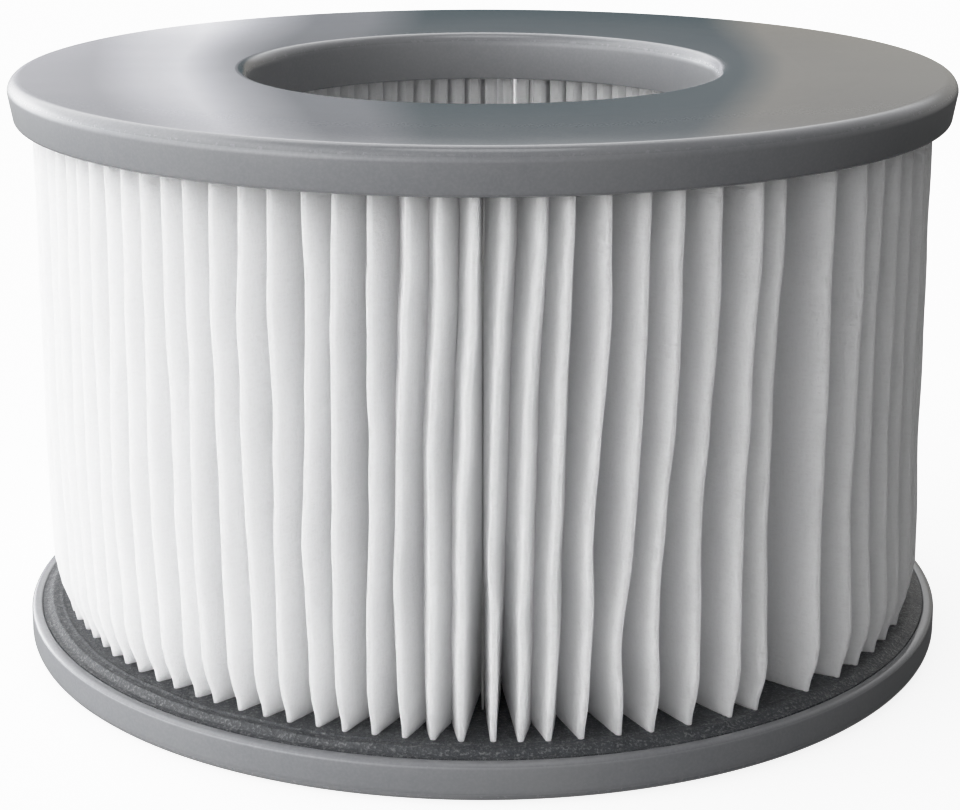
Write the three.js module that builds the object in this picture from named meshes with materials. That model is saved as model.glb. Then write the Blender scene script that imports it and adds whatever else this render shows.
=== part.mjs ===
// Pleated filter cartridge for a small pool or inflatable spa.
//
// Millimetres, +Z up. The origin is the centre of the underside that the cartridge rests on, and +Z runs along
// the bore. The pleated medium is one folded strip, bent into a loop. Its two ends meet in a wider pocket at the
// front (-Y), where a bonded seam strip closes the loop. Each end of the loop stands in a ring of cast resin
// inside a moulded end cap. Water passes from outside through the pleats and leaves through the bore.

import * as THREE from "three";

// Driving dimensions
const OUTER_DIAMETER = 107; // across both end caps
const HEIGHT = 66; // between the outer faces of the end caps
const BORE_DIAMETER = 53.5;
const PLEAT_COUNT = 90;
const SEAM_POCKET_DEG = 5.4; // angle between the two pleats beside the seam

// End caps, as depths measured inwards from a cap's outer face
const FACE_THICKNESS = 2; // the flat ring
const TOP_SKIRT_DEPTH = 4.9;
const BOTTOM_SKIRT_DEPTH = 4.3;
const SLEEVE_DEPTH = 5.7; // the short tube round the bore
const SKIRT_INNER_RADIUS = 52.2;
const SLEEVE_WALL = 1.6;
const TOP_SKIRT_DRAFT = 0.5; // how much the skirt narrows towards its free edge
const BOTTOM_SKIRT_DRAFT = 0;
const OUTER_EDGE_RADIUS = 1.5;
const BORE_LIP_RADIUS = 1.5;
const SKIRT_END_RADIUS = 0.6;

// Cast resin, as depths from the cap's outer face
const TOP_RESIN_DEPTH = 4.6;
const BOTTOM_RESIN_DEPTH = 4.9;
const RESIN_EDGE_FALL = 0.7; // how much lower the resin lies at the skirt than at the pleats
const RESIN_EDGE_WIDTH = 1;

// Pleated medium
const MEDIUM_THICKNESS = 0.5;
const OUTER_FOLD_RADIUS = 50.8;
const INNER_FOLD_RADIUS = 29;
const OUTER_FOLD_HALF_WIDTH = 0.6;
const INNER_FOLD_HALF_WIDTH = 0.6;
const SEAM_THICKNESS = 0.6;
const SEAM_OUTER_RADIUS = 46.5;

const GAP = 0.3; // clearance kept between neighbouring solids
const ROUND_SEGMENTS = 72;
const CORNER_SEGMENTS = 4; // on each rounded corner of a ring's section

// Worked-out sizes
const OUTER_RADIUS = OUTER_DIAMETER / 2;
const BORE_RADIUS = BORE_DIAMETER / 2;
const SLEEVE_OUTER_RADIUS = BORE_RADIUS + SLEEVE_WALL;
const MEDIUM_BOTTOM = BOTTOM_RESIN_DEPTH + GAP;
const MEDIUM_HEIGHT = HEIGHT - TOP_RESIN_DEPTH - GAP - MEDIUM_BOTTOM;
const SEAM_POCKET = THREE.MathUtils.degToRad(SEAM_POCKET_DEG);
const PITCH = (2 * Math.PI - SEAM_POCKET) / (PLEAT_COUNT - 1);
// Half of the gap that is left inside a pleat, between its two walls, at the inner folds
const PLEAT_HALF_GAP = (INNER_FOLD_RADIUS * PITCH) / 2 - INNER_FOLD_HALF_WIDTH;

const materials = {
  cap: new THREE.MeshStandardMaterial({ color: 0x87898d, roughness: 0.35, metalness: 0 }),
  resin: new THREE.MeshStandardMaterial({ color: 0x33363b, roughness: 0.75, metalness: 0 }),
  medium: new THREE.MeshStandardMaterial({ color: 0xe9eaee, roughness: 0.95, metalness: 0 }),
  seam: new THREE.MeshStandardMaterial({ color: 0xf2f2f0, roughness: 0.8, metalness: 0 }),
};

// Quarter circle about (r, depth), added to a section.
function addCorner(section, r, depth, radius, fromDeg, toDeg) {
  for (let i = 0; i <= CORNER_SEGMENTS; i++) {
    const angle = THREE.MathUtils.degToRad(fromDeg + ((toDeg - fromDeg) * i) / CORNER_SEGMENTS);
    section.push(new THREE.Vector2(r + radius * Math.cos(angle), depth + radius * Math.sin(angle)));
  }
}

// Section of an end cap: x is the radius and y the depth from its outer face.
function capSection(skirtDepth, skirtDraft) {
  const section = [];
  const skirtEnd = OUTER_RADIUS - skirtDraft - SKIRT_END_RADIUS;
  addCorner(section, OUTER_RADIUS - OUTER_EDGE_RADIUS, OUTER_EDGE_RADIUS, OUTER_EDGE_RADIUS, -90, 0);
  addCorner(section, skirtEnd, skirtDepth - SKIRT_END_RADIUS, SKIRT_END_RADIUS, 0, 90);
  section.push(new THREE.Vector2(SKIRT_INNER_RADIUS, skirtDepth));
  section.push(new THREE.Vector2(SKIRT_INNER_RADIUS, FACE_THICKNESS));
  section.push(new THREE.Vector2(SLEEVE_OUTER_RADIUS, FACE_THICKNESS));
  section.push(new THREE.Vector2(SLEEVE_OUTER_RADIUS, SLEEVE_DEPTH));
  section.push(new THREE.Vector2(BORE_RADIUS, SLEEVE_DEPTH));
  addCorner(section, BORE_RADIUS + BORE_LIP_RADIUS, BORE_LIP_RADIUS, BORE_LIP_RADIUS, 180, 270);
  return section;
}

// Section of the resin cast into an end cap, in the same coordinates. It lies lower beside the skirt.
function resinSection(resinDepth) {
  const inner = SLEEVE_OUTER_RADIUS + GAP;
  const outer = SKIRT_INNER_RADIUS - GAP;
  const floor = FACE_THICKNESS + GAP;
  return [
    new THREE.Vector2(inner, floor),
    new THREE.Vector2(outer, floor),
    new THREE.Vector2(outer, resinDepth - RESIN_EDGE_FALL),
    new THREE.Vector2(outer - RESIN_EDGE_WIDTH / 2, resinDepth - RESIN_EDGE_FALL / 3),
    new THREE.Vector2(outer - RESIN_EDGE_WIDTH, resinDepth),
    new THREE.Vector2(inner, resinDepth),
  ];
}

// A solid of revolution about Z whose section lies in the radius and height plane.
function turned(section) {
  return new THREE.LatheGeometry([...section, section[0]], ROUND_SEGMENTS).rotateX(Math.PI / 2);
}

// A point at an angle from the front (-Y) and a radius, moved sideways along the circle.
function aroundPoint(angle, radius, sideways) {
  const ahead = new THREE.Vector2(Math.sin(angle), -Math.cos(angle));
  const along = new THREE.Vector2(Math.cos(angle), Math.sin(angle));
  return ahead.multiplyScalar(radius).addScaledVector(along, sideways);
}

// Angle of a pleat's middle. The first and the last stand on either side of the seam pocket.
function pleatAngle(index) {
  return SEAM_POCKET / 2 + index * PITCH;
}

// The four corners of one pleat on one surface of the strip, in order round the cartridge. The surface lies
// depth inside the outer fold and rise outside the inner folds, and spans the given half widths at the folds.
function pleatCorners(index, depth, outerHalf, rise, innerHalf, endOffset) {
  const middle = pleatAngle(index);
  const outer = OUTER_FOLD_RADIUS - depth;
  const inner = INNER_FOLD_RADIUS + rise;
  const atSeamBefore = index === 0;
  const atSeamAfter = index === PLEAT_COUNT - 1;
  return [
    atSeamBefore
      ? aroundPoint(middle, INNER_FOLD_RADIUS, -endOffset)
      : aroundPoint(middle - PITCH / 2, inner, innerHalf),
    aroundPoint(middle, outer, -outerHalf),
    aroundPoint(middle, outer, outerHalf),
    atSeamAfter
      ? aroundPoint(middle, INNER_FOLD_RADIUS, endOffset)
      : aroundPoint(middle + PITCH / 2, inner, -innerHalf),
  ];
}

// Plan outline of the folded strip: round along its outer surface, and back along its inner surface.
function mediumOutline() {
  const thickness = MEDIUM_THICKNESS;
  const outside = [];
  const inside = [];
  for (let i = 0; i < PLEAT_COUNT; i++) {
    outside.push(
      ...pleatCorners(
        i, 0, OUTER_FOLD_HALF_WIDTH, thickness, INNER_FOLD_HALF_WIDTH - thickness, PLEAT_HALF_GAP + thickness,
      ),
    );
    inside.push(
      ...pleatCorners(
        i, thickness, OUTER_FOLD_HALF_WIDTH - thickness, 0, INNER_FOLD_HALF_WIDTH, PLEAT_HALF_GAP,
      ),
    );
  }
  return [...outside, ...inside.reverse()];
}

// The folded strip between the two resin rings.
function mediumGeometry() {
  const outline = new THREE.Shape(mediumOutline());
  return new THREE.ExtrudeGeometry(outline, { depth: MEDIUM_HEIGHT, bevelEnabled: false });
}

// A flat strip that stands in the seam pocket and bonds the strip's two ends.
function seamGeometry() {
  const depth = SEAM_OUTER_RADIUS - INNER_FOLD_RADIUS;
  const strip = new THREE.BoxGeometry(SEAM_THICKNESS, depth, MEDIUM_HEIGHT, 1, 2, 4);
  return strip.translate(0, -(INNER_FOLD_RADIUS + SEAM_OUTER_RADIUS) / 2, MEDIUM_HEIGHT / 2);
}

function named(name, geometry, material) {
  const mesh = new THREE.Mesh(geometry, material);
  mesh.name = name;
  return mesh;
}

// A cap with its resin, built with its outer face down at the origin.
function endGroup(end, skirtDepth, skirtDraft, resinDepth) {
  const group = new THREE.Group();
  group.add(named(end + "_end_cap", turned(capSection(skirtDepth, skirtDraft)), materials.cap));
  group.add(named(end + "_resin_ring", turned(resinSection(resinDepth)), materials.resin));
  return group;
}

const bottomEnd = endGroup("bottom", BOTTOM_SKIRT_DEPTH, BOTTOM_SKIRT_DRAFT, BOTTOM_RESIN_DEPTH);

const topEnd = endGroup("top", TOP_SKIRT_DEPTH, TOP_SKIRT_DRAFT, TOP_RESIN_DEPTH);
topEnd.rotation.x = Math.PI;
topEnd.position.z = HEIGHT;

const mediumPack = new THREE.Group();
mediumPack.add(named("pleated_medium", mediumGeometry(), materials.medium));
mediumPack.add(named("seam_strip", seamGeometry(), materials.seam));
mediumPack.position.z = MEDIUM_BOTTOM;

const cartridge = new THREE.Group();
cartridge.add(bottomEnd, topEnd, mediumPack);

export default cartridge;
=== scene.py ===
"""Looks of the pleated filter cartridge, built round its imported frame. Blender 4.5, metres, +Z up.

The cartridge stands on its bottom end cap, with its axis on Z and the seam of its fabric towards -Y.
"""

import math
import random

import bmesh
import bpy
import numpy as np
from mathutils import Euler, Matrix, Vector, noise


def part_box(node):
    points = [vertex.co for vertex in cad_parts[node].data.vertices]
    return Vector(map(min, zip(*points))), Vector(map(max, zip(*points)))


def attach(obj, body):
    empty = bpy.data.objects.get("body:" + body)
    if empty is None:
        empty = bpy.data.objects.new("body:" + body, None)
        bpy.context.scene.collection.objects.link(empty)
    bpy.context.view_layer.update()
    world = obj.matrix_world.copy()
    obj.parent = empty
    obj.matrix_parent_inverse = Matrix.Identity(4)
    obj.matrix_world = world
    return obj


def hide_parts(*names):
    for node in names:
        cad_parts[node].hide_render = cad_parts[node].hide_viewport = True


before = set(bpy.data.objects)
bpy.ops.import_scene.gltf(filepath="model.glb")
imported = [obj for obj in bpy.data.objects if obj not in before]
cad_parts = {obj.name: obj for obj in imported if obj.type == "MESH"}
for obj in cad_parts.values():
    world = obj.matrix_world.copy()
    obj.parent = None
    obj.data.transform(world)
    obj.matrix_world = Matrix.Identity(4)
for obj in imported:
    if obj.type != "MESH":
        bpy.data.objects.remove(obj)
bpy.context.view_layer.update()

MM = 0.001
BODY = "root"

# Sizes read from the frame
BOTTOM_CAP_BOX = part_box("bottom_end_cap")
TOP_CAP_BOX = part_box("top_end_cap")
BOTTOM_RESIN_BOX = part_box("bottom_resin_ring")
TOP_RESIN_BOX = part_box("top_resin_ring")
FABRIC_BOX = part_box("pleated_medium")
SEAM_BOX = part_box("seam_strip")
HEIGHT = TOP_CAP_BOX[1].z
OUTER_RADIUS = BOTTOM_CAP_BOX[1].x
SLEEVE_DEPTH = BOTTOM_CAP_BOX[1].z
BOTTOM_RESIN_TOP = BOTTOM_RESIN_BOX[1].z
TOP_RESIN_UNDER = TOP_RESIN_BOX[0].z
OUTER_FOLD_RADIUS = FABRIC_BOX[1].x


def smallest_radius(node):
    """How near a CAD node comes to the axis."""
    return min(v.co.xy.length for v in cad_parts[node].data.vertices)


BORE_RADIUS = smallest_radius("bottom_end_cap")
INNER_FOLD_RADIUS = smallest_radius("pleated_medium")
FABRIC_HEIGHT = FABRIC_BOX[1].z - FABRIC_BOX[0].z
SEAM_INNER_RADIUS = smallest_radius("seam_strip")
SEAM_OUTER_RADIUS = -SEAM_BOX[0].y

# End cap section, as depths from the cap's outer face
FACE_THICKNESS = 2 * MM
TOP_SKIRT_DEPTH = 4.9 * MM
BOTTOM_SKIRT_DEPTH = 4.3 * MM
SKIRT_INNER_RADIUS = 52.2 * MM
SLEEVE_WALL = 1.6 * MM
TOP_SKIRT_DRAFT = 0.5 * MM
BOTTOM_SKIRT_DRAFT = 0.0
OUTER_EDGE_RADIUS = 1.5 * MM
BORE_LIP_RADIUS = 1.5 * MM
SKIRT_END_RADIUS = 0.6 * MM
INNER_CORNER_RADIUS = 0.25 * MM
SLEEVE_OUTER_RADIUS = BORE_RADIUS + SLEEVE_WALL
CAP_SEGMENTS = 240
CORNER_STEPS = 8

# Resin
RESIN_SEGMENTS = 900
RESIN_STEPS = 34
RESIN_EDGE = 3.6 * MM  # the part beside the skirt, where the surface is modelled finely
RESIN_EDGE_STEPS = 32
RESIN_FALL = 0.6 * MM  # how far the surface falls towards the skirt
RESIN_FALL_WIDTH = 1.6 * MM
RESIN_CLIMB = 0.35 * MM  # how far it climbs up the sleeve
RESIN_CLIMB_WIDTH = 0.8 * MM
RIDGE_HALF_WIDTH = 0.34 * MM
GROOVE_PLACE = 0.55 * MM
GROOVE_DEPTH = 0.16 * MM
GROOVE_HALF_WIDTH = 0.3 * MM
# (distance from the skirt, height, share of the slow wave) of the two low ridges beside the skirt
RESIN_RIDGES = ((1.15 * MM, 0.28 * MM, 1.0), (2.3 * MM, 0.24 * MM, 1.5))

# Pleats
PLEATS = 90
SEAM_POCKET = math.radians(3.4)
FABRIC_THICKNESS = 0.38 * MM
FOLD_HALF_WIDTH = 0.34 * MM
FOLD_HALF_WIDTH_AT_RESIN = 0.30 * MM
RESIN_REACH = 9 * MM  # how far from the resin the folds are narrower
INNER_FOLD_HALF_WIDTH = 0.78 * MM
FOLD_ROUNDNESS = 0.85  # 1 is a half circle, and less is squarer
FOOT_PINCH = 1.55 * MM  # how far the outer folds are drawn in where they enter the bottom resin
FOOT_PINCH_HEIGHT = 6 * MM
# How far the feet go in on the front left and back right, and out on the front right and back left
FOOT_SHEAR = 0.9 * MM
FOOT_SHEAR_HEIGHT = 22 * MM
TIP_REACH = 0.22 * MM  # how far the longest folds stand out from the even radius
TIP_SPREAD = 0.25 * MM  # how much shorter the shortest ones are
TIP_WAVE = 0.12 * MM
WALL_SLACK = 0.2 * MM  # how far a wall can bow to either side
POCKET_SLOPE = 2.5  # depth of a pocket at its foot, for each unit of its width at the outer folds
POCKET_GAP = 0.12 * MM  # what is left between two pleats behind the open part of a pocket
SEAM_POCKET_GAP = 0.16 * MM  # the same in the pocket that holds the seam
SEAM_POCKET_RADIUS = OUTER_FOLD_RADIUS - 6 * MM  # where that gap begins, above its foot
DEEPEST_POCKET_RADIUS = INNER_FOLD_RADIUS + 3 * MM
SHALLOWEST_POCKET_RADIUS = OUTER_FOLD_RADIUS - 4 * MM
INNER_CENTRE_RADIUS = INNER_FOLD_RADIUS + INNER_FOLD_HALF_WIDTH
SEAM_GAPE = 9 * MM  # how much deeper the pockets at the seam stand open at the bottom
SET_IN_RESIN = 0.8 * MM
STRIP_LOW = BOTTOM_RESIN_TOP - SET_IN_RESIN
STRIP_HIGH = TOP_RESIN_UNDER + SET_IN_RESIN
SEAM_RECESS = 5 * MM  # how much further in the seam's edge lies below its top
STRIP_END = 0.7 * MM  # how far the strip's cut ends lie from the seam
FABRIC_LEVELS = 29
OUTER_FOLD_STEPS = 7
INNER_FOLD_STEPS = 4
SEAM_LEVELS = 40
SEAM_STEPS = 12


# ---------------------------------------------------------------- mesh helpers

def add_piece(name, vertices, faces, replaced, material, sharp_deg=40):
    """A smooth-shaded mesh object that stands for a CAD node."""
    mesh = bpy.data.meshes.new(name)
    mesh.from_pydata(vertices, [], faces)
    bm = bmesh.new()
    bm.from_mesh(mesh)
    bmesh.ops.recalc_face_normals(bm, faces=bm.faces)
    bm.to_mesh(mesh)
    bm.free()
    mesh.shade_smooth()
    mesh.set_sharp_from_angle(angle=math.radians(sharp_deg))
    mesh.materials.append(material)
    piece = bpy.data.objects.new(name, mesh)
    bpy.context.scene.collection.objects.link(piece)
    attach(piece, BODY)
    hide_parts(replaced)
    return piece


def ring_faces(rows, columns):
    """Faces of a grid that closes on itself both ways."""
    faces = []
    for i in range(rows):
        j = (i + 1) % rows
        for k in range(columns):
            m = (k + 1) % columns
            faces.append((i * columns + k, j * columns + k, j * columns + m, i * columns + m))
    return faces


def polar(radius, azimuth, z):
    """A point at an azimuth from the front (-Y), growing towards +X."""
    return (radius * math.sin(azimuth), -radius * math.cos(azimuth), z)


def corner(r, depth, radius, from_deg, to_deg, steps=CORNER_STEPS):
    """Points of a round corner in a section of (radius, depth) points."""
    angles = np.radians(np.linspace(from_deg, to_deg, steps + 1))
    return [(r + radius * math.cos(a), depth + radius * math.sin(a)) for a in angles]


# ---------------------------------------------------------------- end caps

def cap_section(skirt_depth, skirt_draft):
    """Closed section of an end cap, as (radius, depth from its outer face)."""
    small = INNER_CORNER_RADIUS
    skirt_end = OUTER_RADIUS - skirt_draft - SKIRT_END_RADIUS
    section = corner(
        OUTER_RADIUS - OUTER_EDGE_RADIUS, OUTER_EDGE_RADIUS, OUTER_EDGE_RADIUS, -90, 0,
    )
    section += corner(skirt_end, skirt_depth - SKIRT_END_RADIUS, SKIRT_END_RADIUS, 5, 90)
    section += corner(SKIRT_INNER_RADIUS + small, skirt_depth - small, small, 90, 180, 3)
    section.append((SKIRT_INNER_RADIUS, FACE_THICKNESS))
    section.append((SLEEVE_OUTER_RADIUS, FACE_THICKNESS))
    section += corner(SLEEVE_OUTER_RADIUS - small, SLEEVE_DEPTH - small, small, 0, 90, 3)
    section += corner(BORE_RADIUS + small, SLEEVE_DEPTH - small, small, 90, 180, 3)
    section += corner(
        BORE_RADIUS + BORE_LIP_RADIUS, BORE_LIP_RADIUS, BORE_LIP_RADIUS, 180, 270,
    )
    return section


def make_cap(name, node, section, height_of, material):
    """An end cap. height_of turns a depth from its outer face into a height."""
    vertices = []
    for i in range(CAP_SEGMENTS):
        azimuth = math.tau * i / CAP_SEGMENTS
        vertices += [polar(r, azimuth, height_of(depth)) for r, depth in section]
    faces = ring_faces(CAP_SEGMENTS, len(section))
    return add_piece(name, vertices, faces, node, material)


# ---------------------------------------------------------------- resin rings

def smooth(x):
    """Smooth step from 0 to 1."""
    x = min(1.0, max(0.0, x))
    return x * x * (3 - 2 * x)


def hump(x, middle, width):
    """A smooth bump of height 1 and that half width."""
    return smooth(1 - abs(x - middle) / width)


def resin_relief(radius, azimuth):
    """How far the cast surface stands above its level at a place."""
    here = Vector(polar(radius, azimuth, 0))
    from_skirt = SKIRT_INNER_RADIUS - radius
    from_sleeve = radius - SLEEVE_OUTER_RADIUS
    relief = 0.10 * MM * noise.noise(here / (7 * MM))
    relief += 0.045 * MM * noise.noise(here / (0.9 * MM))
    relief += 0.03 * MM * noise.noise(here / (0.45 * MM))
    relief -= RESIN_FALL * (1 - smooth(from_skirt / RESIN_FALL_WIDTH))
    relief += RESIN_CLIMB * (1 - smooth(from_sleeve / RESIN_CLIMB_WIDTH))
    # A skin of resin has crept up beside the skirt and left two low ridges behind a groove.
    from_seam = math.remainder(azimuth, math.tau)
    creep = 0.25 + 0.75 * max(hump(from_seam, -0.62, 0.8), hump(from_seam, 2.3, 0.7))
    creep *= 0.8 + 0.5 * noise.noise(here / (5 * MM))
    wave = 0.15 * MM * noise.noise(here / (9 * MM))
    for place, height, sway in RESIN_RIDGES:
        relief += height * creep * hump(from_skirt, place + sway * wave, RIDGE_HALF_WIDTH)
    return relief - GROOVE_DEPTH * creep * hump(from_skirt, GROOVE_PLACE, GROOVE_HALF_WIDTH)


def make_resin(name, node, level, floor, up, material):
    """A resin ring from the cap's plate to its cast surface.

    floor is the plate's height and level the surface's. The surface faces up (1) or down (-1).
    """
    edge = SKIRT_INNER_RADIUS - RESIN_EDGE
    radii = np.concatenate([
        np.linspace(SLEEVE_OUTER_RADIUS, edge, RESIN_STEPS, endpoint=False),
        np.linspace(edge, SKIRT_INNER_RADIUS, RESIN_EDGE_STEPS),
    ])
    vertices = []
    for i in range(RESIN_SEGMENTS):
        azimuth = math.tau * i / RESIN_SEGMENTS
        for r in radii:
            vertices.append(polar(r, azimuth, level + up * resin_relief(r, azimuth)))
        vertices.append(polar(radii[-1], azimuth, floor))
        vertices.append(polar(radii[0], azimuth, floor))
    faces = ring_faces(RESIN_SEGMENTS, len(radii) + 2)
    return add_piece(name, vertices, faces, node, material, sharp_deg=60)


# ---------------------------------------------------------------- pleated fabric

# Widths of the pockets that stand open, beside an even pocket, by their number from the seam
# towards +X. Folds and pockets are counted from 0, and the seam's own pocket isn't counted.
LOOSE_POCKETS = {
    3: 1.2, 4: 1.15, 5: 1.25, 6: 1.5, 8: 2.15, 9: 1.6,
    10: 1.15, 11: 1.3, 12: 1.2, 13: 1.4, 14: 1.3,
}
LEAN = 2.1 * MM  # how far the folds to the right of the seam lean over, from bottom to top
SWING = 0.4 * MM  # how far the folds round the seam swing towards -X half way up
WANDER = 0.75 * MM  # how far single folds wander sideways
BENT_FOLD = 4  # the number of a fold that was creased sideways near its foot
BENT_BY = 0.75 * MM
SEAM_FOLD_BY = 0.4 * MM  # how far the fold beside the seam stands off towards +X at its foot
RNG = random.Random(230)


def fold_azimuths():
    """Azimuth of each outer fold, and of each inner fold after it. Folds are closest at the front."""
    shares = []
    for i in range(PLEATS - 1):
        azimuth = math.tau * (i + 1) / PLEATS
        drift = 1 - 0.08 * math.cos(azimuth)
        shares.append(drift * RNG.uniform(0.88, 1.12) * LOOSE_POCKETS.get(i, 1))
    shares = np.array(shares)
    outer = spread(shares)
    settled = spread(1 + 0.35 * (shares / shares.mean() - 1))
    return outer, (outer[:-1] + outer[1:] + settled[:-1] + settled[1:]) / 4


def spread(shares):
    """Azimuths from one side of the seam round to the other, spaced by the shares."""
    turn = math.tau - SEAM_POCKET
    return SEAM_POCKET / 2 + np.concatenate([[0], np.cumsum(shares)]) * turn / shares.sum()


def wander(azimuth, h):
    """Sideways shift of an outer fold at a share h of the height. Neighbours shift alike to a degree."""
    around = Vector((math.cos(azimuth), math.sin(azimuth), 0))
    from_seam = math.remainder(azimuth, math.tau)
    tilt = 0.8 * noise.noise(around * 1.7) * (1 - hump(from_seam, 0, 1.2))
    tilt += hump(from_seam, 0.35, 1.0)
    lean = LEAN * tilt * (smooth(h) - 0.5)
    swing = SWING * hump(from_seam, 0.05, 0.6) * hump(h, 0.5, 0.45)
    free = smooth(h / 0.3) * smooth((1 - h) / 0.2)
    own = noise.noise(around * 11 + Vector((0, 0, 2.4 * h + 9)))
    kink = noise.noise(around * 33 + Vector((0, 0, 10 * h)))
    rooted = noise.noise(around * 15 + Vector((0, 0, 40)))
    return lean - swing + WANDER * ((0.2 + 0.8 * free) * own + 0.3 * free * kink + 0.3 * rooted)


def fold_round(centre, across, outward, half_width, steps):
    """Points round a fold, from its left side over its tip to its right side."""
    angles = np.linspace(0, math.pi, steps)
    side = -np.sign(np.cos(angles)) * np.abs(np.cos(angles)) ** FOLD_ROUNDNESS
    ahead = np.sin(angles) ** FOLD_ROUNDNESS
    return centre + half_width * (side[:, None] * across + ahead[:, None] * outward)


def axes_at(azimuth):
    """Unit vectors in plan: outward, and sideways towards growing azimuth."""
    outward = np.array([math.sin(azimuth), -math.cos(azimuth)])
    across = np.array([math.cos(azimuth), math.sin(azimuth)])
    return outward, across


def wall(tip_side, gap, pocket, bend_at, side, slack):
    """Points on a pleat wall from its tip towards its foot.

    The wall slopes into the pocket beside it, until it comes within a gap of the next pleat at
    the radius bend_at. Then it follows the pocket's middle, given by its azimuths at the outer and
    the inner folds. side is 1 where the pocket lies towards growing azimuth, and -1 where it doesn't.
    """
    def beside_pocket(radius):
        share = (radius - INNER_FOLD_RADIUS) / (OUTER_FOLD_RADIUS - INNER_FOLD_RADIUS)
        outward, across = axes_at(pocket[1] + (pocket[0] - pocket[1]) * share)
        return outward * radius - side * across * (gap + FABRIC_THICKNESS) / 2

    bend = beside_pocket(bend_at)
    deeper = beside_pocket((bend_at + INNER_FOLD_RADIUS) / 2)
    along = bend - tip_side
    normal = np.array([-along[1], along[0]]) / np.linalg.norm(along)
    third = tip_side + along * 0.33 + normal * slack
    two_thirds = tip_side + along * 0.68 + normal * slack * 0.8
    return np.array([third, two_thirds, bend, deeper])


def bend_radius(mouth, h, azimuth):
    """Radius at which the two walls of a pocket come together, from its width at the outer folds."""
    # Above their feet the pockets are shallower, and a little more so to either side of the seam.
    from_seam = math.remainder(azimuth, math.tau)
    shallower = 0.20 + 0.16 * hump(from_seam, -0.4, 0.6) + 0.12 * hump(from_seam, 0.4, 0.5)
    slope = POCKET_SLOPE * (1 - shallower * smooth(h / 0.25))
    depth = max(0.0, mouth) * slope
    return min(SHALLOWEST_POCKET_RADIUS, max(DEEPEST_POCKET_RADIUS, OUTER_FOLD_RADIUS - depth))


def pocket_bends(shifted, pockets, half, h):
    """Radius at which each pocket's walls come together, from the seam round to the seam."""
    gaps = [shifted[0] * 2, *np.diff(shifted), (math.tau - shifted[-1]) * 2]
    mouths = [gap * OUTER_FOLD_RADIUS - 2 * half for gap in gaps]
    bends = [bend_radius(mouth, h, pocket[0]) for mouth, pocket in zip(mouths, pockets)]
    bends[0] = bends[-1] = SEAM_POCKET_RADIUS
    gape = SEAM_GAPE * hump(h, 0, 0.45)
    for i in (0, 1, -1):
        bends[i] = max(DEEPEST_POCKET_RADIUS, bends[i] - gape)
    return bends


def tip_radius(h, azimuth, even_azimuth, shortfall):
    """How far out a fold reaches. even_azimuth is its place before it leans, and shortfall is 0 to 1."""
    above_foot = h * FABRIC_HEIGHT
    foot_pinch = FOOT_PINCH * (1 - smooth(above_foot / FOOT_PINCH_HEIGHT))
    foot_shear = FOOT_SHEAR * (1 - smooth(above_foot / FOOT_SHEAR_HEIGHT))
    tip = OUTER_FOLD_RADIUS + TIP_REACH - TIP_SPREAD * shortfall - foot_pinch
    tip += foot_shear * math.sin(2 * azimuth)
    return tip + TIP_WAVE * noise.noise(Vector((even_azimuth * 40, 0, h * 7)))


def inner_fold(azimuth):
    """Points round a fold at the bore."""
    outward, across = axes_at(azimuth)
    half = INNER_FOLD_HALF_WIDTH - FABRIC_THICKNESS / 2
    return fold_round(outward * INNER_CENTRE_RADIUS, across, -outward, half, INNER_FOLD_STEPS)


def plan_path(h, outer, inner, shortfalls):
    """Middle line of the folded strip in plan at a share h of its height."""
    pinch = 1 - smooth(min(h, 1 - h) * FABRIC_HEIGHT / RESIN_REACH)
    half = FOLD_HALF_WIDTH + (FOLD_HALF_WIDTH_AT_RESIN - FOLD_HALF_WIDTH) * pinch
    shifts = [wander(azimuth, h) for azimuth in outer]
    shifts[BENT_FOLD] -= BENT_BY * hump(h, 0.19, 0.21)
    shifts[0] += SEAM_FOLD_BY * hump(h, 0, 0.5)
    shifted = [azimuth + shift / OUTER_FOLD_RADIUS for azimuth, shift in zip(outer, shifts)]
    feet = [azimuth + 0.1 * wander(azimuth, h) / INNER_CENTRE_RADIUS for azimuth in inner]
    pockets = [((a + b) / 2, foot) for a, b, foot in zip(shifted, shifted[1:], feet)]
    pockets = [(0.0, 0.0), *pockets, (math.tau, math.tau)]
    pocket_gaps = [SEAM_POCKET_GAP, *[POCKET_GAP] * (PLEATS - 1), SEAM_POCKET_GAP]
    walls_in = list(zip(pocket_gaps, pockets, pocket_bends(shifted, pockets, half, h)))
    ends = [strip_end(1), *[inner_fold(azimuth) for azimuth in feet], strip_end(-1)]
    runs = [ends[0]]
    for i, azimuth in enumerate(shifted):
        tip = tip_radius(h, azimuth, outer[i], shortfalls[i])
        outward, across = axes_at(azimuth)
        around_tip = fold_round(
            outward * (tip - half), across, outward, half - FABRIC_THICKNESS / 2, OUTER_FOLD_STEPS,
        )
        slack = WALL_SLACK * noise.noise(Vector((outer[i] * 23, 5, h * 2.3)))
        runs.append(wall(around_tip[0], *walls_in[i], -1, slack)[::-1])
        runs.append(around_tip)
        runs.append(wall(around_tip[-1], *walls_in[i + 1], 1, slack))
        runs.append(ends[i + 1])
    return np.concatenate(runs)


def strip_end(side):
    """The cut end of the strip, beside the seam."""
    return np.array([[side * STRIP_END, -INNER_FOLD_RADIUS]])


def two_sides(path):
    """The strip's two surfaces in plan, half its thickness to either side of its middle line."""
    along = np.gradient(path, axis=0)
    along /= np.linalg.norm(along, axis=1)[:, None]
    normal = np.stack([along[:, 1], -along[:, 0]], axis=1)
    return path + normal * FABRIC_THICKNESS / 2, path - normal * FABRIC_THICKNESS / 2


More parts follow.
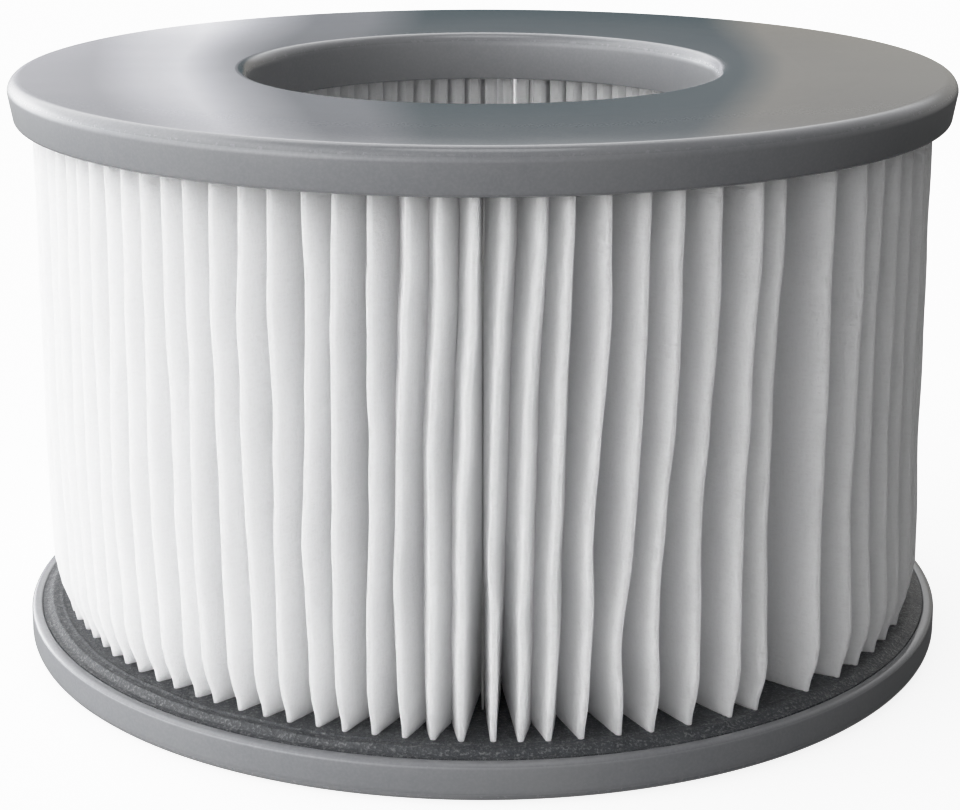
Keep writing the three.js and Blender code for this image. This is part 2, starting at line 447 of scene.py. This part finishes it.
def strip_faces(levels, points):
    """Faces of a folded strip: vertices go by level, then side, then point along the strip."""
    def at(level, side, point):
        return (level * 2 + side) * points + point

    faces = []
    last = points - 1
    for a in range(levels - 1):
        b = a + 1
        for p in range(last):
            q = p + 1
            faces.append((at(a, 0, p), at(a, 0, q), at(b, 0, q), at(b, 0, p)))
            faces.append((at(a, 1, p), at(b, 1, p), at(b, 1, q), at(a, 1, q)))
        faces.append((at(a, 0, 0), at(b, 0, 0), at(b, 1, 0), at(a, 1, 0)))
        faces.append((at(a, 0, last), at(a, 1, last), at(b, 1, last), at(b, 0, last)))
    top = levels - 1
    for p in range(last):
        q = p + 1
        faces.append((at(0, 0, p), at(0, 1, p), at(0, 1, q), at(0, 0, q)))
        faces.append((at(top, 0, p), at(top, 0, q), at(top, 1, q), at(top, 1, p)))
    return faces


def make_fabric(material):
    """The folded strip, its ends set a little way into both resin rings."""
    outer, inner = fold_azimuths()
    shortfalls = [RNG.random() for _ in range(PLEATS)]
    vertices = []
    points = 0
    for h in np.linspace(0, 1, FABRIC_LEVELS):
        path = plan_path(h, outer, inner, shortfalls)
        points = len(path)
        z = STRIP_LOW + h * (STRIP_HIGH - STRIP_LOW)
        for side in two_sides(path):
            vertices += [(x, y, z) for x, y in side]
    faces = strip_faces(FABRIC_LEVELS, points)
    fabric = add_piece(
        "fabric_pleats", vertices, faces, "pleated_medium", material, 60,
    )
    path = plan_path(0.5, outer, inner, shortfalls)
    return fabric


def make_seam(material):
    """The bonded strip between the two ends of the fabric, a thin blade that is widest at the top."""
    vertices = []
    for h in np.linspace(0, 1, SEAM_LEVELS):
        reach = SEAM_OUTER_RADIUS - SEAM_RECESS * smooth((0.92 - h) / 0.35)
        reach += 0.1 * MM * noise.noise(Vector((h * 9, 0, 0)))
        share = np.linspace(0, 1, SEAM_STEPS)
        radii = SEAM_INNER_RADIUS + share * (reach - SEAM_INNER_RADIUS)
        half = (0.26 - 0.16 * share) * MM
        bend = 0.3 * MM * noise.noise(Vector((0, 3, h * 2.5))) * share * share
        z = STRIP_LOW + h * (STRIP_HIGH - STRIP_LOW)
        left = [(b - t, -r, z) for r, t, b in zip(radii, half, bend)]
        right = [(b + t, -r, z) for r, t, b in zip(radii, half, bend)]
        vertices += left + right[::-1]
    count = 2 * SEAM_STEPS
    faces = []
    for a in range(SEAM_LEVELS - 1):
        for p in range(count):
            q = (p + 1) % count
            faces.append((a * count + p, a * count + q, (a + 1) * count + q, (a + 1) * count + p))
    for a in (0, SEAM_LEVELS - 1):
        for p in range(SEAM_STEPS - 1):
            left = a * count + p
            right = a * count + count - 1 - p
            faces.append((left, left + 1, right - 1, right))
    return add_piece("seam_blade", vertices, faces, "seam_strip", material, 50)


# ---------------------------------------------------------------- materials

class Nodes:
    """Short calls for making a material's node tree."""

    def __init__(self, name):
        self.material = bpy.data.materials.new(name)
        self.material.use_nodes = True
        self.tree = self.material.node_tree
        self.shader = self.tree.nodes["Principled BSDF"]
        self.place = self.tree.nodes.new("ShaderNodeTexCoord").outputs["Object"]

    def link(self, source, target):
        """A link from one socket to another."""
        self.tree.links.new(source, target)

    def scaled(self, scale):
        """Object coordinates, stretched by a scale for each axis."""
        node = self.tree.nodes.new("ShaderNodeMapping")
        node.inputs["Scale"].default_value = scale
        self.link(self.place, node.inputs["Vector"])
        return node.outputs["Vector"]

    def noise(self, cell, detail=3, roughness=0.5, vector=None):
        """Noise with features about cell metres wide, from 0 to 1."""
        node = self.tree.nodes.new("ShaderNodeTexNoise")
        node.inputs["Scale"].default_value = 1 / cell
        node.inputs["Detail"].default_value = detail
        node.inputs["Roughness"].default_value = roughness
        self.link(vector or self.place, node.inputs["Vector"])
        return node.outputs["Fac"]

    def map(self, value, low, high, to_low, to_high):
        """value from low..high turned into to_low..to_high, and held there."""
        node = self.tree.nodes.new("ShaderNodeMapRange")
        for name, number in (
            ("From Min", low), ("From Max", high), ("To Min", to_low), ("To Max", to_high),
        ):
            node.inputs[name].default_value = number
        self.link(value, node.inputs["Value"])
        return node.outputs["Result"]

    def math(self, operation, a, b):
        """One operation on two numbers or sockets."""
        node = self.tree.nodes.new("ShaderNodeMath")
        node.operation = operation
        for socket, value in zip(node.inputs, (a, b)):
            if isinstance(value, (int, float)):
                socket.default_value = value
            else:
                self.link(value, socket)
        return node.outputs["Value"]

    def mix(self, factor, a, b):
        """Colour a where factor is 0 and b where it is 1."""
        node = self.tree.nodes.new("ShaderNodeMix")
        node.data_type = "RGBA"
        self.link(factor, node.inputs["Factor"])
        for socket, value in ((node.inputs[6], a), (node.inputs[7], b)):
            if isinstance(value, tuple):
                socket.default_value = (*value, 1)
            else:
                self.link(value, socket)
        return node.outputs[2]

    def bump(self, height, distance, strength=1.0, after=None):
        """A normal from a height map that is distance metres deep, laid over the one in after."""
        node = self.tree.nodes.new("ShaderNodeBump")
        node.inputs["Strength"].default_value = strength
        node.inputs["Distance"].default_value = distance
        self.link(height, node.inputs["Height"])
        if after:
            self.link(after, node.inputs["Normal"])
        return node.outputs["Normal"]


SATIN_ROUGHNESS = 0.38
POLISH = 0.32  # how much less rough the flat faces are


def cap_plastic():
    """Moulded grey plastic: polished flat faces, satin edges, flow marks, fine speckle and scuffs."""
    n = Nodes("cap_plastic")
    flow = n.noise(28 * MM, 2, 0.5)
    cloud = n.noise(2.2 * MM, 4, 0.6)
    tone = n.mix(
        n.map(flow, 0.35, 0.65, 0, 1), (0.180, 0.186, 0.198), (0.204, 0.209, 0.218),
    )
    tone = n.mix(n.map(cloud, 0.3, 0.75, 0, 0.35), tone, (0.228, 0.230, 0.236))
    speckle = n.noise(0.32 * MM, 2, 0.6)
    tone = n.mix(n.map(speckle, 0.40, 0.65, 0, 0.30), tone, (0.255, 0.258, 0.263))
    n.link(tone, n.shader.inputs["Base Color"])
    facing = n.tree.nodes.new("ShaderNodeNewGeometry")
    split = n.tree.nodes.new("ShaderNodeSeparateXYZ")
    n.link(facing.outputs["True Normal"], split.inputs["Vector"])
    flat = n.map(n.math("ABSOLUTE", split.outputs["Z"], 0), 0.2, 0.98, 0, 1)
    scuffs = n.map(n.noise(0.8 * MM, 5, 0.65), 0.55, 0.8, 0, 0.07)
    rough = n.math("SUBTRACT", SATIN_ROUGHNESS, n.math("MULTIPLY", flat, POLISH))
    n.link(n.math("ADD", rough, scuffs), n.shader.inputs["Roughness"])
    wave = n.bump(n.noise(16 * MM, 1, 0.4), 0.5 * MM, 0.12)
    grain = n.bump(n.noise(0.35 * MM, 2, 0.5), 0.004 * MM, 0.25, wave)
    n.link(grain, n.shader.inputs["Normal"])
    n.shader.inputs["IOR"].default_value = 1.5
    return n.material


def potting_resin():
    """Cast charcoal resin: a dull grainy skin with lighter specks."""
    n = Nodes("potting_resin")
    mottle = n.noise(1.6 * MM, 4, 0.6)
    specks = n.noise(0.30 * MM, 3, 0.7)
    tone = n.mix(n.map(mottle, 0.35, 0.7, 0, 1), (0.024, 0.027, 0.032), (0.046, 0.050, 0.056))
    tone = n.mix(n.map(specks, 0.52, 0.66, 0, 0.8), tone, (0.20, 0.205, 0.21))
    n.link(tone, n.shader.inputs["Base Color"])
    n.link(n.map(mottle, 0.3, 0.7, 0.34, 0.54), n.shader.inputs["Roughness"])
    rough = n.bump(mottle, 0.2 * MM, 0.6)
    grain = n.bump(specks, 0.16 * MM, 1.0, rough)
    n.link(grain, n.shader.inputs["Normal"])
    return n.material


def filter_fabric(name, white, dull):
    """Pale non-woven fabric that lets light through: matted fibres, faint upright streaks and fuzz."""
    n = Nodes(name)
    upright = n.noise(0.30 * MM, 4, 0.7, n.scaled((1, 1, 0.3)))
    level = n.noise(0.30 * MM, 4, 0.7, n.scaled((0.3, 0.3, 1)))
    fibres = n.math("MAXIMUM", upright, level)
    matting = n.noise(1.4 * MM, 4, 0.65)
    streaks = n.noise(0.8 * MM, 2, 0.5, n.scaled((1, 1, 0.04)))
    tone = n.mix(n.map(matting, 0.3, 0.7, 0, 1), dull, white)
    tone = n.mix(n.map(streaks, 0.45, 0.75, 0, 0.5), tone, dull)
    pits = tuple(0.96 * part for part in white)
    tone = n.mix(n.map(fibres, 0.44, 0.56, 1, 0), tone, pits)
    n.link(tone, n.shader.inputs["Base Color"])
    n.link(n.map(fibres, 0.4, 0.7, 0.88, 1.0), n.shader.inputs["Roughness"])
    soft = n.bump(matting, 0.2 * MM, 0.5)
    grain = n.bump(fibres, 0.1 * MM, 1.0, soft)
    n.link(grain, n.shader.inputs["Normal"])
    n.shader.inputs["Sheen Weight"].default_value = 0.1
    n.shader.inputs["Specular IOR Level"].default_value = 0.2
    through = n.tree.nodes.new("ShaderNodeBsdfTranslucent")
    both = n.tree.nodes.new("ShaderNodeMixShader")
    n.link(n.map(fibres, 0.42, 0.70, 0.90, 0.45), both.inputs["Fac"])
    n.link(tone, through.inputs["Color"])
    n.link(grain, through.inputs["Normal"])
    n.link(n.shader.outputs["BSDF"], both.inputs[1])
    n.link(through.outputs["BSDF"], both.inputs[2])
    n.link(both.outputs["Shader"], n.tree.nodes["Material Output"].inputs["Surface"])
    return n.material


def floor_paper():
    """Pale backdrop paper."""
    n = Nodes("floor_paper")
    tone = n.mix(n.noise(40 * MM, 3, 0.5), (0.60, 0.60, 0.60), (0.62, 0.62, 0.62))
    n.link(tone, n.shader.inputs["Base Color"])
    n.shader.inputs["Roughness"].default_value = 0.9
    n.shader.inputs["Specular IOR Level"].default_value = 0.1
    n.shader.inputs["Emission Color"].default_value = (1, 1, 1, 1)
    n.shader.inputs["Emission Strength"].default_value = 1.0
    return n.material


# ---------------------------------------------------------------- stage

CAMERA_PLACE = Vector((0, -4.9665, 1.9509)) * OUTER_RADIUS
CAMERA_PITCH = 0.2441  # radians down from level
CAMERA_LENS = 87.57
CAMERA_SHIFT = (-0.0028, -0.109)
FLOOR_HALF_SIZE = 4.0


def make_camera():
    """The camera, in front of the seam and a little above the cartridge."""
    data = bpy.data.cameras.new("camera")
    data.lens = CAMERA_LENS
    data.sensor_width = 36
    data.shift_x, data.shift_y = CAMERA_SHIFT
    data.clip_start, data.clip_end = 0.01, 20
    camera = bpy.data.objects.new("camera", data)
    camera.location = CAMERA_PLACE
    camera.rotation_euler = Euler((math.pi / 2 - CAMERA_PITCH, 0, 0))
    bpy.context.scene.collection.objects.link(camera)
    bpy.context.scene.camera = camera


def make_floor():
    """A pale floor that the camera sees, and that doesn't change the light on the cartridge."""
    mesh = bpy.data.meshes.new("floor")
    half = FLOOR_HALF_SIZE
    corners = [(-half, -half, 0), (half, -half, 0), (half, half, 0), (-half, half, 0)]
    mesh.from_pydata(corners, [], [(0, 1, 2, 3)])
    mesh.materials.append(floor_paper())
    floor = bpy.data.objects.new("floor", mesh)
    bpy.context.scene.collection.objects.link(floor)
    floor.visible_diffuse = False
    floor.visible_glossy = False
    floor.visible_transmission = False
    floor.visible_shadow = False


ROOM_BRIGHTNESS = 7.1
BACKDROP_BRIGHTNESS = 1.75
# Brightness of the room round the horizon, as (share of a turn from -X by way of -Y, colour).
# Windows fill its left and front left. Behind the cartridge stand, from left to right, a pale wall,
# a bright strip, a dim strip, a dark opening and a beige wall.
ROOM = [
    (0.0, (0.50, 0.50, 0.505)),
    (0.125, (1.0, 1.0, 1.0)),
    (0.25, (0.225, 0.225, 0.228)),
    (0.375, (0.020, 0.020, 0.020)),
    (0.5, (0.030, 0.030, 0.029)),
    (0.625, (0.088, 0.087, 0.084)),
    (0.7326, (0.054, 0.051, 0.045)),
    (0.7338, (0.006, 0.012, 0.014)),
    (0.7570, (0.006, 0.012, 0.014)),
    (0.7578, (0.044, 0.046, 0.050)),
    (0.7653, (0.044, 0.046, 0.050)),
    (0.7661, (0.185, 0.185, 0.192)),
    (0.772, (0.175, 0.175, 0.181)),
    (0.776, (0.105, 0.105, 0.11)),
    (0.80, (0.13, 0.13, 0.135)),
    (0.875, (0.66, 0.66, 0.665)),
    (1.0, (0.50, 0.50, 0.505)),
]
# Light from higher up, round the horizon like ROOM
UPPER_ROOM = [
    (0.0, (0.455, 0.455, 0.455)),
    (0.25, (0.0, 0.0, 0.0)),
    (0.5, (0.0, 0.0, 0.0)),
    (0.75, (0.27, 0.27, 0.27)),
    (1.0, (0.455, 0.455, 0.455)),
]
CEILING = (0.01, 0.01, 0.01)
LAMP = (0.35, 0.35, 0.35)
# Light that the floor gives back, round the horizon like ROOM
BOUNCE = [
    (0.0, (0.14, 0.14, 0.14)),
    (0.25, (0.007, 0.007, 0.007)),
    (0.5, (0.0, 0.0, 0.0)),
    (0.75, (0.021, 0.021, 0.021)),
    (1.0, (0.14, 0.14, 0.14)),
]


class Room:
    """The world's node tree."""

    def __init__(self):
        world = bpy.data.worlds.new("studio")
        bpy.context.scene.world = world
        world.use_nodes = True
        self.tree = world.node_tree
        self.tree.nodes.clear()
        self.direction = self.tree.nodes.new("ShaderNodeTexCoord").outputs["Generated"]
        around = self.tree.nodes.new("ShaderNodeTexGradient")
        around.gradient_type = "RADIAL"
        self.link(self.direction, around.inputs["Vector"])
        self.around = around.outputs["Fac"]
        split = self.tree.nodes.new("ShaderNodeSeparateXYZ")
        self.link(self.direction, split.inputs["Vector"])
        self.up = split.outputs["Z"]

    def link(self, source, target):
        """A link from one socket to another."""
        self.tree.links.new(source, target)

    def ring(self, stops):
        """A colour that goes round the horizon by (place, colour) stops."""
        node = self.tree.nodes.new("ShaderNodeValToRGB")
        ramp = node.color_ramp
        while len(ramp.elements) < len(stops):
            ramp.elements.new(0.5)
        for element, (place, colour) in zip(ramp.elements, stops):
            element.position = place
            element.color = (*colour, 1)
        self.link(self.around, node.inputs["Fac"])
        return node.outputs["Color"]

    def blend(self, low, high, under, over):
        """Colour under below a height of low, turning into over by a height of high."""
        share = self.tree.nodes.new("ShaderNodeMapRange")
        share.interpolation_type = "SMOOTHSTEP"
        share.inputs["From Min"].default_value = low
        share.inputs["From Max"].default_value = high
        self.link(self.up, share.inputs["Value"])
        mix = self.tree.nodes.new("ShaderNodeMix")
        mix.data_type = "RGBA"
        self.link(share.outputs["Result"], mix.inputs["Factor"])
        for socket, value in ((mix.inputs[6], under), (mix.inputs[7], over)):
            if isinstance(value, tuple):
                socket.default_value = (*value, 1)
            else:
                self.link(value, socket)
        return mix.outputs[2]

    def background(self, colour, strength):
        """Light of one colour, or of the colour in a socket."""
        node = self.tree.nodes.new("ShaderNodeBackground")
        node.inputs["Strength"].default_value = strength
        if isinstance(colour, tuple):
            node.inputs["Color"].default_value = (*colour, 1)
        else:
            self.link(colour, node.inputs["Color"])
        return node.outputs["Background"]


def make_world():
    """A room with soft light from its left. The camera itself sees a plain pale backdrop."""
    room = Room()
    walls = room.blend(0.22, 0.42, room.ring(ROOM), room.ring(UPPER_ROOM))
    walls = room.blend(0.78, 0.94, walls, CEILING)
    walls = room.blend(0.965, 0.985, walls, LAMP)
    light = room.background(room.blend(-0.12, 0.0, room.ring(BOUNCE), walls), ROOM_BRIGHTNESS)
    backdrop = room.background((1, 1, 1), BACKDROP_BRIGHTNESS)
    path = room.tree.nodes.new("ShaderNodeLightPath")
    both = room.tree.nodes.new("ShaderNodeMixShader")
    out = room.tree.nodes.new("ShaderNodeOutputWorld")
    room.link(path.outputs["Is Camera Ray"], both.inputs["Fac"])
    room.link(light, both.inputs[1])
    room.link(backdrop, both.inputs[2])
    room.link(both.outputs["Shader"], out.inputs["Surface"])


# ---------------------------------------------------------------- tones

KNEE = 0.6  # scene brightness above which whites roll off
BRIGHTEST = 3.0  # scene brightness above which they get no brighter
CURVE_POINTS = (0.2, 0.4, 0.55, 0.65, 0.8, 1.0, 1.25, 1.6, 2.2)
LIGHT_BOUNCES = 80


def rolled_off(value):
    """A scene brightness as it shows in the picture."""
    if value <= KNEE:
        return value
    headroom = 1 - KNEE
    return KNEE + headroom * (1 - math.exp((KNEE - value) / headroom))


def soft_highlights():
    """Makes the brightest whites roll off, as a camera does, in place of clipping."""
    view = bpy.context.scene.view_settings
    view.view_transform = "Standard"
    view.use_curve_mapping = True
    curves = view.curve_mapping
    curves.white_level = (BRIGHTEST, BRIGHTEST, BRIGHTEST)
    curves.extend = "HORIZONTAL"
    curve = curves.curves[3]
    curve.points[1].location = (1, rolled_off(BRIGHTEST))
    for value in CURVE_POINTS:
        curve.points.new(value / BRIGHTEST, rolled_off(value))
    curves.update()


# ---------------------------------------------------------------- assembly

soft_highlights()
# Light goes through the pale pleats and between them many times before it comes out.
bpy.context.scene.cycles.diffuse_bounces = LIGHT_BOUNCES
bpy.context.scene.cycles.transmission_bounces = LIGHT_BOUNCES
bpy.context.scene.cycles.max_bounces = LIGHT_BOUNCES
make_camera()
make_floor()
make_world()

grey = cap_plastic()
resin = potting_resin()
bottom_section = cap_section(BOTTOM_SKIRT_DEPTH, BOTTOM_SKIRT_DRAFT)
top_section = cap_section(TOP_SKIRT_DEPTH, TOP_SKIRT_DRAFT)
make_cap("bottom_cap", "bottom_end_cap", bottom_section, lambda depth: depth, grey)
make_cap("top_cap", "top_end_cap", top_section, lambda depth: HEIGHT - depth, grey)
make_resin("bottom_resin", "bottom_resin_ring", BOTTOM_RESIN_TOP, FACE_THICKNESS, 1, resin)
make_resin("top_resin", "top_resin_ring", TOP_RESIN_UNDER, HEIGHT - FACE_THICKNESS, -1, resin)
make_fabric(filter_fabric("filter_fabric", (0.998, 0.998, 0.9985), (0.992, 0.993, 0.995)))
make_seam(filter_fabric("seam_fabric", (0.9, 0.9, 0.89), (0.82, 0.82, 0.81)))
